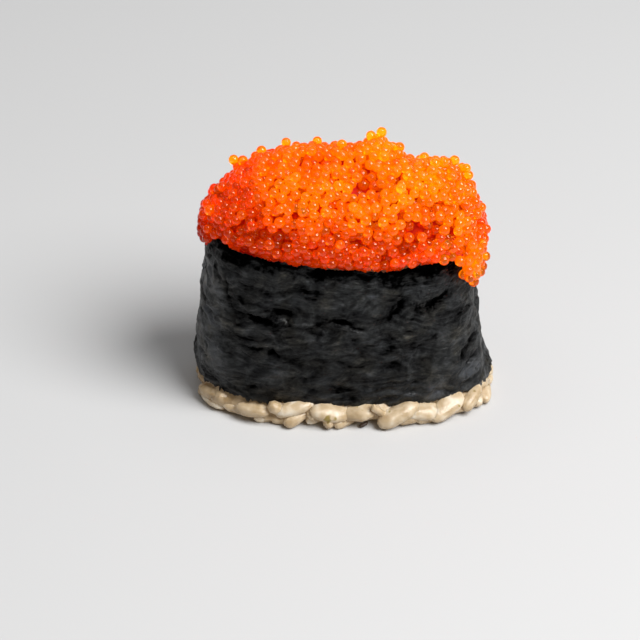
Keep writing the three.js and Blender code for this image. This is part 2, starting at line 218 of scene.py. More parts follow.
def run_tree(piece, tree, **values):
    """Runs a tree on a piece with the named inputs and returns the plain mesh."""
    modifier = piece.modifiers.new("nodes", "NODES")
    modifier.node_group = tree
    for item in tree.interface.items_tree:
        if item.in_out == "INPUT" and item.name in values:
            modifier[item.identifier] = values[item.name]
    mesh = evaluated_mesh(piece)
    piece.modifiers.clear()
    return mesh


# %% The tree that scatters points over a surface
scatter_tree, given = new_tree("scatter", [("Spacing", "Float"), ("Density", "Float"), ("Seed", "Int")])
scattered = add(scatter_tree, "GeometryNodeDistributePointsOnFaces", {
    "Mesh": given["Geometry"],
    "Distance Min": given["Spacing"],
    "Density Max": given["Density"],
    "Seed": given["Seed"],
}, distribute_method="POISSON")
outward = add(scatter_tree, "GeometryNodeStoreNamedAttribute", {
    "Geometry": scattered.outputs["Points"], "Name": "outward", "Value": scattered.outputs["Normal"],
}, data_type="FLOAT_VECTOR", domain="POINT")
vertices = add(scatter_tree, "GeometryNodePointsToVertices", {0: outward.outputs[0]})
add(scatter_tree, "NodeGroupOutput", {0: vertices.outputs[0]})

# %% The tree that sets a mesh on each point
copies_tree, given = new_tree("copies", [("Pattern", "Object"), ("Material", "Material")])
size = add(copies_tree, "GeometryNodeInputNamedAttribute", {"Name": "size"}, data_type="FLOAT_VECTOR")
turn = add(copies_tree, "GeometryNodeInputNamedAttribute", {"Name": "turn"}, data_type="FLOAT_VECTOR")
pattern = add(copies_tree, "GeometryNodeObjectInfo", {"Object": given["Pattern"], "As Instance": True})
rotation = add(copies_tree, "FunctionNodeEulerToRotation", {0: turn.outputs["Attribute"]})
copies = add(copies_tree, "GeometryNodeInstanceOnPoints", {
    "Points": given["Geometry"],
    "Instance": pattern.outputs["Geometry"],
    "Rotation": rotation.outputs[0],
    "Scale": size.outputs["Attribute"],
})
real = add(copies_tree, "GeometryNodeRealizeInstances", {0: copies.outputs[0]})
shaded = add(copies_tree, "GeometryNodeSetShadeSmooth", {0: real.outputs[0]})
finished = add(copies_tree, "GeometryNodeSetMaterial", {0: shaded.outputs[0], "Material": given["Material"]})
add(copies_tree, "NodeGroupOutput", {0: finished.outputs[0]})


# %% Copies of a mesh from lists of places, turns, sizes and tints
def store(piece, label, values):
    """Keeps a number or a vector for each point of a piece, under a label that the trees read."""
    values = np.asarray(values, np.float32)
    vectors = values.ndim == 2
    layer = piece.data.attributes.new(label, "FLOAT_VECTOR" if vectors else "FLOAT", "POINT")
    layer.data.foreach_set("vector" if vectors else "value", values.ravel())


def set_copies(name, pattern_piece, material, places, turns, sizes, tints):
    points = new_object(name, places, [])
    for label, values in (("turn", turns), ("size", sizes), ("tint", tints)):
        store(points, label, values)
    points.data = run_tree(points, copies_tree, Pattern=pattern_piece, Material=material)
    return points


# %% [markdown]
# ## Nori
# Nori is seaweed pressed and dried into a sheet like paper. Round damp rice it softens, clings and
# crumples: shallow swells between sharp little creases, and cut edges with ragged teeth. The strip
# is wrapped a bit more than once round, so its end shows as a step at the back. Cloth simulation
# would give soft folds, not the hard little creases of a damp sheet stuck to rice, so a grid of
# points follows the wrap instead: a point's place is then a plain function of the way round and
# the way up. Solidify gives the sheet its thickness.

# %% Sizes of the wrap, in millimetres
SQUARENESS = 2.55
FOOT, FOOT_MIDDLE = (26.1, 13.4), -0.8
MOUTH, MOUTH_MIDDLE = (23.05, 12.2), -0.85
# Each edge: height, rise for each millimetre to the right, waves on the way round, height and
# phase of the waves.
LOWER_EDGE = (3.9, -0.03, 6, 0.35, -0.9)
UPPER_EDGE = (32.2, -0.045, 2, 0.75, 1.13)
SWELLS = [(7, 9, 0.11), (7, -1, 0.11), (13, -9, 0.15)]  # waves round, turn on the way up, reach
BULGE = 0.35
LAP_START, LAP_FULL, LAP_END = 1.13, 1.17, 1.3
INNER_END = 0.15
SHEET_THICKNESS = 0.34
LAP_STEP = 0.42
FOOT_FLARE = 1.5  # how far the lower corner at the right bends out
FLARE_START, FLARE_TOP = (21, 5), (9, 6)  # where the flare starts along x, and its top, with its run
COLUMNS, ROWS = 560, 84

# %% An oval between an ellipse and a rectangle, like the wrap in plan
OVAL_STEPS = 2880
NEARBY = 0.002  # share of the way round on each side of a place that gives its direction


def oval(half_length, half_width, shares, squareness=SQUARENESS):
    """Places and outward directions at shares of the way round an oval, by arc length."""
    turn = np.linspace(0, 2 * math.pi, OVAL_STEPS + 1)
    c, s = np.cos(turn), np.sin(turn)
    x = half_length * np.sign(c) * np.abs(c) ** (2 / squareness)
    y = half_width * np.sign(s) * np.abs(s) ** (2 / squareness)
    length = np.concatenate([[0], np.cumsum(np.hypot(np.diff(x), np.diff(y)))])

    def at(share):
        way = share % 1 * length[-1]
        return np.interp(way, length, x), np.interp(way, length, y)

    px, py = at(shares)
    ahead, behind = at(shares + NEARBY), at(shares - NEARBY)
    tx, ty = ahead[0] - behind[0], ahead[1] - behind[1]
    norm = np.hypot(tx, ty)
    return np.stack([px, py], -1), np.stack([ty / norm, -tx / norm], -1), length[-1]


print("way round the foot:", oval(*FOOT, np.zeros(1))[2].round(1), "mm")

# %% [markdown]
# ### Creases, and where the sheet is grey
# The creases that show most on the long side are named one by one, and noises add the finer ones
# everywhere. Each point of the sheet also keeps how grey it is, from the same creases: the folds are
# damp and painted with shade, so they are nearly black, and the ridges between them are painted a
# little paler. The same number holds paler wisps, painted shadow under the rim and painted sheen on the ends.

# %% Creases of the sheet
# Each crease: how far along x and how high it is, its length and width, how much it tilts, its depth.
CREASES = [
    (-17.5, 21.5, 6.6, 0.5, -0.3, 0.5),
    (-11.4, 22.2, 4.6, 0.95, 0.08, 0.5),
    (-12.2, 20.6, 6.0, 0.4, -0.1, 0.35),
    (-8.0, 26.8, 8.0, 0.7, -0.06, 0.28),
    (-16.5, 27.0, 4.0, 0.6, 0.2, 0.22),
    (-1.6, 21.2, 3.4, 0.55, 0.1, 0.4),
    (1.6, 20.5, 5.0, 0.4, -0.35, 0.4),
    (9.6, 23.6, 6.4, 0.6, 0.81, 0.5),
    (16.2, 24.4, 4.4, 0.5, 0.3, 0.4),
    (12.6, 22.2, 5.0, 0.4, 0.1, 0.25),
    (-12.4, 14.1, 2.6, 0.4, 0.0, 0.4),
    (-15.5, 14.8, 9.0, 0.5, -0.05, 0.15),
    (0.2, 6.5, 6.2, 1.1, 0.0, 0.26),
    (9.5, 12.5, 3.0, 0.5, 0.3, 0.2),
    (13.0, 15.0, 3.0, 0.8, 0.5, 0.25),
    (21.9, 12.2, 4.6, 0.6, 0.95, 0.4),
    (22.8, 9.5, 3.0, 0.5, 0.9, 0.3),
    (-24.9, 19.5, 5.6, 0.35, 1.5, 0.4),
    (-24.2, 25.0, 4.4, 0.3, -1.2, 0.35),
    (-25.0, 10.4, 1.6, 0.4, 0.2, 0.4),
    (-20.5, 25.5, 6.0, 0.3, 1.55, 0.3),
    (11.5, 10.0, 7.5, 0.3, 1.57, -0.2),
    (3.0, 26.0, 5.0, 0.35, 0.9, -0.16),
    (-5.5, 17.0, 8.0, 0.4, -0.12, -0.14),
    (6.5, 17.6, 11.0, 0.3, 0.05, -0.16),
]


def crease_depth(x, y, z):
    """How deep the named creases of the front are at a place. They fade out on the other sides."""
    depth = 0.0
    if y > 0:
        return depth
    for cx, cz, length, width, tilt, deep in CREASES:
        if abs(x - cx) + abs(z - cz) > length + 3 * width:
            continue
        along = (x - cx) * math.cos(tilt) + (z - cz) * math.sin(tilt)
        across = -(x - cx) * math.sin(tilt) + (z - cz) * math.cos(tilt)
        across += 0.9 * noise.noise(Vector((x * 0.5, z * 0.5, cx)))
        across += 0.3 * noise.noise(Vector((x * 1.7, z * 1.7, cx)))
        depth += deep * math.exp(-((along / (0.5 * length)) ** 4) - (across / width) ** 2)
    return depth


print("named creases:", len(CREASES))


# %% Relief of the sheet
noise.seed_set(1)  # the drift is drawn at random, and the seed makes it the same in every run


def drifted(x, y, z, reach):
    """A place moved along a slow, swirling drift, so that a pattern read there runs in wisps."""
    slow = Vector((x, y, z)) * 0.22
    return Vector((x, y, z)) + reach * noise.noise_vector(slow)


def waves(at, across, up, shift):
    """A smooth noise from about -1 to 1. across and up say how fast it changes along and in height."""
    return noise.noise(Vector((at[0] * across, at[1] * across, at[2] * up)) + Vector(shift))


def crumple(x, y, z):
    """How far the sheet stands out at a place, from swells, folds, creases and sharp crinkles."""
    at = drifted(x, y, z, 2.5)
    swell = waves((x, y, z), 0.16, 0.22, (3.1, 0, 7.7))
    fold = waves(at, 0.13, 0.33, (9.3, 4.1, 0))
    patch = waves((x, y, z), 0.2, 0.2, (0, 8.5, 2.2))
    line = math.exp(-((fold / 0.05) ** 2)) * max(0.0, min(1.0, 0.4 + 2.2 * patch))
    crease = abs(waves(at, 0.24, 0.62, (1.7, 6.1, 0)))
    crinkle = abs(waves(at, 0.7, 1.25, (5.2, 0, 3.3)))
    fine = noise.fractal(Vector((x * 0.8, y * 0.8, z * 1.3)), 0.7, 2.1, 3)
    relief = 0.3 * swell - 0.26 * line - 0.6 * crease - 0.3 * crinkle * (0.6 + patch) + 0.09 * fine
    return 0.16 + relief - crease_depth(x, y, z)


# %% Light and dark of the sheet
BAND = 3.4  # height of the dark band under the rim: damp where the roe wets it, and painted shadow of the roe above


def ease(value):
    value = max(0.0, min(1.0, value))
    return value * value * (3 - 2 * value)


def greyness(x, y, z, below_rim):
    """How grey and glossy the sheet is: near 0 in damp folds and painted shade, 1 on ridges and on the
    painted sheen of the ends.
    """
    at = drifted(x, y, z, 3.0)
    wisp = noise.fractal(Vector((at.x * 0.26, at.y * 0.26, at.z * 0.7)) + Vector((4.4, 0, 1.3)), 0.6, 2.1, 4)
    ragged = 1.6 * noise.noise(Vector((x, y, z)) * 0.45) + 0.9 * noise.noise(Vector((x, y, z)) * 1.3)
    grey = 0.52 + (0.2 + 0.14 * ease((z - 13) / 6)) * wisp
    # painted shadow: the band under the rim is darkened for the roe's shadow as well as for the damp
    damp_and_painted_shadow = ease((BAND + ragged - below_rim) / 2.6)
    grey -= 0.46 * damp_and_painted_shadow * ease((x + 24.6) / 2)
    # painted shade: darker in the named creases, and a little paler on the ridges between them
    grey -= 1.25 * max(-0.12, crease_depth(x, y, z))
    specks = math.exp(-(((x - 13.6) / 2.6) ** 2) - ((z - 24.2) / 2.2) ** 2) if y < 0 else 0.0
    grey -= 0.9 * specks * abs(noise.noise(Vector((x, y, z)) * 2.4))
    # painted sheen: both ends of the sheet are made paler, as if they caught the light
    painted_sheen_left = ease((-20.2 - x) / 2.5) * ease((z - 7) / 4) * ease((29 - z) / 3)
    painted_sheen_right = ease((x - 13.2 - 0.16 * z) / 0.8) * ease((20 - z) / 3)
    return grey + 0.46 * painted_sheen_left + 0.2 * painted_sheen_right


# %% [markdown]
# ### From an oval to a sheet
# Each row of points is an oval, from the wider foot to the narrower mouth. Every point then moves
# out by the bulge, the swells, the lap and the crumple at its place. Both edges are cut by hand on
# the real sheet, so their heights wander and end in ragged teeth.

# %% Edges of the sheet
def edge_height(edge, shares, x):
    height, tilt, times, wave, phase = edge
    return height + tilt * x + wave * np.sin(times * 2 * math.pi * shares + phase)


def teeth(shares, perimeter, seed):
    """The ragged line that scissors leave in a damp sheet."""
    return np.array(
        [
            0.6 * noise.noise(Vector((s * perimeter * 0.4, seed, 0)))
            + 1.0 * abs(noise.noise(Vector((s * perimeter * 0.9, seed, 5))))
            + 0.9 * abs(noise.noise(Vector((s * perimeter * 2.1, seed, 8))))
            - 0.4
            for s in shares % 1
        ]
    )


# %% Points of the sheet
def nori_points():
    shares = np.linspace(INNER_END, LAP_END, COLUMNS)
    rises = np.linspace(0, 1, ROWS)
    perimeter = oval(*FOOT, shares)[2]
    cut_below, cut_above = teeth(shares, perimeter, 3.7), 0.6 * teeth(shares, perimeter, 9.2)
    lap = np.clip((shares - LAP_START) / (LAP_FULL - LAP_START), 0, 1)
    lap = LAP_STEP * lap * lap * (3 - 2 * lap)
    turn = 2 * math.pi * shares
    points, greys = [], []
    for rise in rises:
        half = [FOOT[i] + (MOUTH[i] - FOOT[i]) * rise for i in (0, 1)]
        place, out, _ = oval(*half, shares)
        place[:, 0] += FOOT_MIDDLE + (MOUTH_MIDDLE - FOOT_MIDDLE) * rise
        relief = BULGE * math.sin(math.pi * math.sqrt(rise)) + lap
        for times, climb, reach in SWELLS:
            relief = relief + reach * np.sin(times * turn + climb * rise)
        lower = edge_height(LOWER_EDGE, shares, place[:, 0]) + cut_below
        upper = edge_height(UPPER_EDGE, shares, place[:, 0]) + cut_above
        z = lower + (upper - lower) * rise
        for i in range(COLUMNS):
            x, y = place[i]
            stand = relief[i] + crumple(x, y, z[i])
            points.append((x + out[i, 0] * stand, y + out[i, 1] * stand, z[i]))
            greys.append(greyness(x, y, z[i], upper[i] - z[i]))
    return np.array(points), np.array(greys)


# %% The sheet
def nori_sheet():
    points, greys = nori_points()
    points *= MM
    low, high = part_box("nori")
    middle = (points.min(0) + points.max(0)) / 2
    points[:, 0] += (low.x + high.x) / 2 - middle[0]
    points[:, 1] += (low.y + high.y) / 2 - middle[1]
    to_the_right = ((points[:, 0] / MM - FLARE_START[0]) / FLARE_START[1]).clip(0, 1)
    to_the_foot = ((FLARE_TOP[0] - points[:, 2] / MM) / FLARE_TOP[1]).clip(0, 1)
    points[:, 0] += FOOT_FLARE * to_the_right * to_the_foot**2 * MM
    cells = [
        (r * COLUMNS + c, r * COLUMNS + c + 1, (r + 1) * COLUMNS + c + 1, (r + 1) * COLUMNS + c)
        for r in range(ROWS - 1)
        for c in range(COLUMNS - 1)
    ]
    sheet = new_object("nori_strip", points, cells)
    store(sheet, "grey", greys)
    modify(sheet, "SOLIDIFY", thickness=SHEET_THICKNESS * MM, offset=-1)
    return bake_modifiers(sheet)


nori = nori_sheet()
rim = np.array([v.co for v in nori.data.vertices[(ROWS - 1) * COLUMNS : ROWS * COLUMNS]]) / MM
print("rim of the nori from", rim[:, 2].min().round(1), "to", rim[:, 2].max().round(1), "mm")

# %% [markdown]
# ### What nori looks like
# Dried laver is nearly black, with a breath of blue and brown, because its pigments take in almost
# all light. Pressed fibres give it a fine grain that runs mostly one way, and it dries to paler
# wisps. One measure joins these with the grey kept at each point, which carries painted shade and
# sheen too, and it sets the colour and the gloss together: black and dull in damp folds and painted
# shade, grey with a satin shine on ridges and where the sheen is painted.

# %% Nori material
FIBRE = 0.9 * MM  # pressed fibres, drawn longer than real ones so that they show
WISP = 4 * MM  # length of the paler wisps, where the laver dried thicker
BLACK_BELOW = 1.4  # what fibres, wisps and grey add up to where the sheet is black: in damp folds and in painted shade
# colours from black, for damp folds and painted shade, to grey, for dry ridges and painted sheen
DAMP_SHADE_TO_DRY_SHEEN = [(0.1, "#000000"), (0.35, "#080808"), (0.55, "#111211"), (0.75, "#20211f"), (1.0, "#3a3b3a")]
BLUE_TO_BROWN = [(0.38, "#d8def2"), (0.52, "#f6f7ff"), (0.66, "#ffeccc")]


def nori_material():
    material, tree = new_material("pressed laver sheet")
    place = add(tree, "ShaderNodeTexCoord").outputs["Object"]
    along = add(tree, "ShaderNodeMapping", {"Vector": place, "Scale": (0.42, 0.42, 1.0)}).outputs[0]
    fibres = add(tree, "ShaderNodeTexNoise", {
        "Vector": along, "Scale": 1 / FIBRE, "Detail": 5.0, "Roughness": 0.75, "Distortion": 1.0,
    }).outputs["Fac"]
    wisps = add(tree, "ShaderNodeTexNoise", {
        "Vector": along, "Scale": 1 / WISP, "Detail": 7.0, "Roughness": 0.66, "Distortion": 1.8,
    }).outputs["Fac"]
    hues = add(tree, "ShaderNodeTexNoise", {"Vector": place, "Scale": 1 / WISP, "Detail": 2.0}).outputs["Fac"]
    grey = add(tree, "ShaderNodeAttribute", attribute_name="grey").outputs["Fac"]
    streaked = add(tree, "ShaderNodeMath", {0: wisps, 1: 1.7, 2: grey}, operation="MULTIPLY_ADD").outputs[0]
    grained = add(tree, "ShaderNodeMath", {0: fibres, 1: streaked}, operation="ADD").outputs[0]
    # the grey kept at each point brings painted shade and painted sheen into the colour and gloss
    dryness_and_painted_light = add(tree, "ShaderNodeMath", {0: grained, 1: BLACK_BELOW}, operation="SUBTRACT", use_clamp=True)
    dryness_and_painted_light = dryness_and_painted_light.outputs[0]
    black = add(tree, "ShaderNodeValToRGB", {0: dryness_and_painted_light}, stops=DAMP_SHADE_TO_DRY_SHEEN).outputs["Color"]
    hue = add(tree, "ShaderNodeValToRGB", {0: hues}, stops=BLUE_TO_BROWN).outputs["Color"]
    colour = add(tree, "ShaderNodeVectorMath", {0: black, 1: hue}, operation="MULTIPLY").outputs[0]
    gloss = add(tree, "ShaderNodeMapRange", {
        "Value": dryness_and_painted_light, "From Min": 0.1, "From Max": 0.9, "To Min": 0.0, "To Max": 0.55,
    }).outputs[0]
    roughness = add(tree, "ShaderNodeMapRange", {
        "Value": wisps, "From Min": 0.35, "From Max": 0.65, "To Min": 0.55, "To Max": 0.36,
    }).outputs[0]
    bump = add(tree, "ShaderNodeBump", {"Height": grained, "Strength": 0.6, "Distance": 0.25 * MM})
    shader = add(tree, "ShaderNodeBsdfPrincipled", {
        "Base Color": colour,
        "Roughness": roughness,
        "IOR": 1.45,
        "Specular IOR Level": gloss,
        "Sheen Weight": 0.02,
        "Sheen Roughness": 0.4,
        "Normal": bump.outputs[0],
    })
    add(tree, "ShaderNodeOutputMaterial", {"Surface": shader.outputs[0]})
    print(material.name, "- fibres", FIBRE / MM, "mm, wisps", WISP / MM, "mm")
    return material


nori.data.materials.append(nori_material())
hand_in(nori, "nori")

# %% [markdown]
# ## Roe
# The eggs of a flying fish are 1.5 to 2 mm across, clear orange, wet and springy. Heaped up they
# touch but keep round, so light goes deep between them, and gaps glow red. A core in the form of
# the heap comes first: the frame's solid, remeshed so that its bosses melt into one smooth skin.
# Points are scattered on it in two layers and then settled: points that are too close push each
# other apart, as real eggs do, which gives the uneven, close-packed look that no grid has. A
# rigid-body run could settle them too, but it is slower and may let a heap this steep slump.

# %% Skin of the heap
EGG = 1.8  # diameter
HEAP_VOXEL = 0.6


def smooth_heap():
    heap = merged_copy("roe_core", "roe")
    modify(heap, "REMESH", mode="VOXEL", voxel_size=HEAP_VOXEL * MM)
    modify(heap, "SMOOTH", factor=0.5, iterations=8)
    return bake_modifiers(heap)


heap = smooth_heap()
heap_skin = tree_of(heap.data)
print("heap skin:", len(heap.data.polygons), "faces")

# %% [markdown]
# ### Where the eggs lie
# The heap was spooned on, so it has clusters that stand out and hollows that sink in. The named
# hollows are the ones that show most from the long side. A first layer of eggs follows the skin up
# and down with them, a second one closes the gaps from below, and a few loose eggs sit on top or
# stand out along the outline. What is named is measured across and up from the middle of the
# view, and `seen_from_front` finds the place in space that it stands for.


# %% Scatter places over a surface
def scatter(surface, spacing, seed):
    """Places and outward directions over a surface, in millimetres."""
    mesh = run_tree(surface, scatter_tree, Spacing=spacing * MM, Density=4 / (spacing * MM) ** 2, Seed=seed)
    count = len(mesh.vertices)
    places, directions = np.zeros(count * 3), np.zeros(count * 3)
    mesh.vertices.foreach_get("co", places)
    mesh.attributes["outward"].data.foreach_get("vector", directions)
    return places.reshape(-1, 3) / MM, directions.reshape(-1, 3)


# %% The place in space that a place in the view stands for
across_axis, up_axis = Vector((1, 0, 0)), Vector((0, math.sin(CAMERA_PITCH), math.cos(CAMERA_PITCH)))
SIGHT_STEP, SIGHT_STEPS = 0.25, 240  # along the line, half of them before the middle of the view
ON_SKIN = 0.3


def seen_from_front(across, up):
    """The place nearest the heap's skin on the sight line through a point of the view."""
    target = AIM + (across_axis * across + up_axis * up) * MM
    sight = (target - camera.location).normalized()
    best, best_distance = None, 1.0
    for step in range(SIGHT_STEPS):
        place = target + sight * (step - SIGHT_STEPS // 2) * SIGHT_STEP * MM
        distance = heap_skin.find_nearest(place)[3]
        if distance < best_distance - 1e-7:
            best, best_distance = place, distance
        elif best_distance < ON_SKIN * MM:
            break
    return np.array(best) / MM


# %% Hollows and lumps of the heap
# Each hollow: across, up, radius, depth.
HOLLOWS = [
    (8.0, 25.5, 1.6, 1.1),
    (9.0, 22.0, 1.5, 1.2),
    (9.6, 17.5, 1.4, 1.3),
    (9.2, 14.0, 1.3, 1.2),
    (19.8, 20.5, 1.6, 1.1),
    (23.6, 15.0, 1.8, 1.1),
    (-10.8, 19.0, 1.7, 1.0),
    (-6.0, 14.5, 1.8, 1.0),
    (3.0, 15.5, 1.5, 0.8),
    (-13.0, 15.5, 1.8, 1.0),
    (15.5, 12.0, 1.6, 0.9),
    (-1.5, 21.5, 1.3, 0.8),
    (-19.4, 25.4, 2.2, 1.2),
    (30.0, 19.4, 2.2, 1.0),
    (26.3, 12.6, 0.9, 2.4),
]
hollow_places = [seen_from_front(across, up) for across, up, _, _ in HOLLOWS]


def sink(place):
    """How far the eggs lie below the even skin at a place, or above it where it is negative."""
    lumps = noise.noise(Vector(place) / 4.6 + Vector((2.7, 0, 0))) + 0.6 * noise.noise(Vector(place) / 2.6)
    depth = -0.75 * lumps
    for middle, (_, _, radius, deep) in zip(hollow_places, HOLLOWS):
        depth += deep * math.exp(-(np.sum((place - middle) ** 2) / radius**2))
    return depth


print("hollows:", len(HOLLOWS), "and the skin sinks", round(sink(hollow_places[0]), 2), "mm in the first")

# %% Layers of eggs
generator = np.random.default_rng(7)
DRAPE_TOP = 30.4  # the eggs that hang down below this height over the corner are named one by one
DRAPE_BACKING = 2.6  # how much lower the under layer goes there
DRAPE_START = 15  # how far along x the drape starts
BELOW_RIM = 1.4  # how far below the rim the eggs still show
DEPTH_LIMITS = (0.35, 3.0)

nori_solid = merged_copy("nori_wall", "nori")
nori_wall = tree_of(nori_solid.data)
bpy.data.objects.remove(nori_solid)


def rim_near(place):
    """Height of the rim of the nori nearest a place in plan."""
    return rim[np.argmin(np.sum((rim[:, :2] - place[:2]) ** 2, axis=1)), 2]


def in_view(place, depth):
    """Eggs show above the rim of the nori, and where the heap hangs over its wall."""
    lowest = DRAPE_TOP if depth < EGG else DRAPE_TOP - DRAPE_BACKING
    if place[0] > DRAPE_START and place[2] < lowest:
        return False
    near = nori_wall.find_nearest(Vector(place) * MM)[0]
    outside = Vector((near.x, near.y)).length < Vector(place[:2]).length * MM
    return place[2] > rim_near(place) - BELOW_RIM or outside


def egg_layer(spacing, seed, depth, stray):
    places, directions = scatter(heap, spacing, seed)
    kept = [in_view(place, depth) for place in places]
    places, directions = places[kept], directions[kept]
    down = depth + generator.uniform(-stray, stray, len(places)) + np.array([sink(p) for p in places])
    return places - directions * down.clip(*DEPTH_LIMITS)[:, None]


top_layer = egg_layer(1.3, 3, 0.85, 0.35)
under_layer = egg_layer(1.6, 8, 2.1, 0.4)
loose = egg_layer(5.5, 21, 0.0, 0.1)

# %% Eggs along the outline
# Each egg that stands out: across, up.
OUTLINE_EGGS = [
    (-15.4, 28.6), (-13.9, 28.7), (-11.6, 29.5), (-6.1, 32.0), (-0.5, 32.2), (9.2, 33.2),
    (11.1, 33.8), (14.3, 31.1), (18.8, 29.3), (20.7, 28.2), (22.3, 28.4), (24.2, 28.7),
    (26.4, 27.2), (26.8, 26.1), (27.4, 22.9), (28.0, 21.2), (29.9, 16.4),
    (-17.6, 24.0), (-19.2, 22.5), (-20.4, 20.9), (-20.9, 19.0), (-20.3, 16.4), (-20.3, 14.8),
    (25.4, 10.6), (26.8, 10.6), (25.7, 8.3), (28.0, 8.1), (27.7, 7.0), (29.3, 9.7), (29.8, 11.5),
    (27.5, 13.5), (28.7, 12.6), (28.4, 10.8), (26.9, 9.0), (28.9, 8.7), (28.1, 9.6),
]
STAND_OUT = 0.45  # how far the middle of a loose egg may be above the skin


def outline_eggs():
    """The named eggs, with a second one under each that stands too far out to touch the rest."""
    places = []
    for across, up in OUTLINE_EGGS:
        place = seen_from_front(across, up)
        near = np.array(heap_skin.find_nearest(Vector(place) * MM)[0]) / MM
        gap = np.linalg.norm(place - near)
        places.append(place)
        if gap > STAND_OUT + 0.3:
            places.append(near + (place - near) * max(0.0, 1 - 0.8 * EGG / gap))
    return np.array(places)


outline = outline_eggs()
eggs = np.concatenate([top_layer, under_layer, loose, outline])
first_loose = len(top_layer) + len(under_layer)
first_outline = first_loose + len(loose)
egg_sizes = EGG * generator.normal(1.0, 0.05, len(eggs)).clip(0.86, 1.08)
counts = {"on top": top_layer, "under": under_layer, "loose": loose, "on the outline": outline}
print("eggs:", {label: len(layer) for label, layer in counts.items()})


# %% [markdown]
# ### Settling
# Scattered eggs overlap in places and leave gaps in others. Over a number of rounds each pair that
# is too close moves apart, each egg is drawn back a little towards where it started, and three
# things hold it: the skin of the heap, the mouth of the nori and the sheet itself. Eggs on the
# outline hardly give way, so that the outline stays as it is named.

# %% What holds an egg
OVERHANG = [(-40, -21.5, -3.5, 20), (20.0, 40, -20, -1), (22.0, 40, -20, 20)]  # x and y ranges
ABOVE_RIM = 0.35 * EGG  # eggs higher than this above the rim are free of it
PRESSED = 0.9  # how much of its radius an egg keeps where it lies against the nori


def may_hang_over(place):
    return any(x0 < place[0] < x1 and y0 < place[1] < y1 for x0, x1, y0, y1 in OVERHANG)


def behind_the_rim(place, radius):
    """Keeps an egg at the rim inside the mouth of the nori, apart from where the heap hangs over."""
    if place[2] > rim_near(place) + ABOVE_RIM or may_hang_over(place):
        return place
    half = [size - SHEET_THICKNESS - radius for size in MOUTH]
    along = place[0] - MOUTH_MIDDLE
    reach = (abs(along / half[0]) ** SQUARENESS + abs(place[1] / half[1]) ** SQUARENESS) ** (1 / SQUARENESS)
    if reach > 1:
        place = np.array([MOUTH_MIDDLE + along / reach, place[1] / reach, place[2]])
    return place


def off_the_nori(place, radius):
    """Moves an egg off the sheet if it has pushed into it."""
    point = Vector(place) * MM
    near, normal, _, distance = nori_wall.find_nearest(point)
    inside = (point - near).dot(normal) < 0
    gap = radius * MM * PRESSED
    if not inside and distance > gap:
        return place
    direction = normal if inside or distance < 1e-7 else (point - near).normalized()
    return np.array(near + direction * gap) / MM


def skin_depth(place):
    """How deep a place lies below the skin, and the skin's outward direction there."""
    near, normal, _, distance = heap_skin.find_nearest(Vector(place) * MM)
    return -(Vector(place) * MM - near).dot(normal) / MM, np.array(normal)


# %% Settle the eggs
SETTLE_ROUNDS = 24
TOUCH = 0.84  # eggs press into each other a little
PULL_HOME, OUTLINE_PULL = 0.05, 8  # part of the way home in a round, and how many times that on the outline
SHOVE, OUTLINE_SHOVE = 0.9, 0.1  # part of an overlap that a round undoes, and what moves an outline egg
DEEPER, HIGHER, LEAST_DEPTH = 0.5, 0.3, 0.4  # how far from its own depth below the skin an egg may go
FURTHEST_LEFT = -25.3  # along x, where the heap ends


def settle(places, sizes):
    homes = places.copy()
    home_depths = np.array([skin_depth(place)[0] for place in places])
    reach = sizes.max() * TOUCH
    for _ in range(SETTLE_ROUNDS):
        tree = KDTree(len(places))
        for i, place in enumerate(places):
            tree.insert(place, i)
        tree.balance()
        push = PULL_HOME * (homes - places)
        push[first_outline:] *= OUTLINE_PULL
        for i, place in enumerate(places):
            for _, j, distance in tree.find_range(place, reach):
                overlap = TOUCH * (sizes[i] + sizes[j]) / 2 - distance
                if j > i and overlap > 0 and distance > 1e-6:
                    shove = (places[i] - places[j]) * (overlap / distance)
                    given_way = OUTLINE_SHOVE if j >= first_outline else SHOVE / 2
                    push[i] += shove * (SHOVE - given_way)
                    push[j] -= shove * given_way
        places = places + push
        for i, place in enumerate(places):
            if i < first_loose:
                depth, outwards = skin_depth(place)
                allowed = min(max(depth, home_depths[i] - HIGHER, LEAST_DEPTH), home_depths[i] + DEEPER)
                place = place + outwards * (depth - allowed)
            if i < first_outline:
                place = behind_the_rim(place, sizes[i] / 2)
            place[0] = max(place[0], FURTHEST_LEFT)
            places[i] = off_the_nori(place, sizes[i] / 2)
    return places


scattered_eggs = eggs
eggs = settle(scattered_eggs, egg_sizes)
moved = np.linalg.norm(eggs - scattered_eggs, axis=1)
print("settling moved an egg by", moved.mean().round(2), "mm on average")

# %% [markdown]
# ### Tints
# Eggs differ in colour a little at random. On top of that, light and shade are painted into the
# tint: painted light makes eggs paler where they stand high, to the right and on clumps that catch
# the light, and painted shade makes them redder in hollows, low on the left and where they lie deep.
# One number for each egg, kept at its points, carries this to the material, so that one material does for
# all.

# %% Tint of each egg
TINT_SPREAD = 0.055
TYPICAL_DEPTH = 0.8
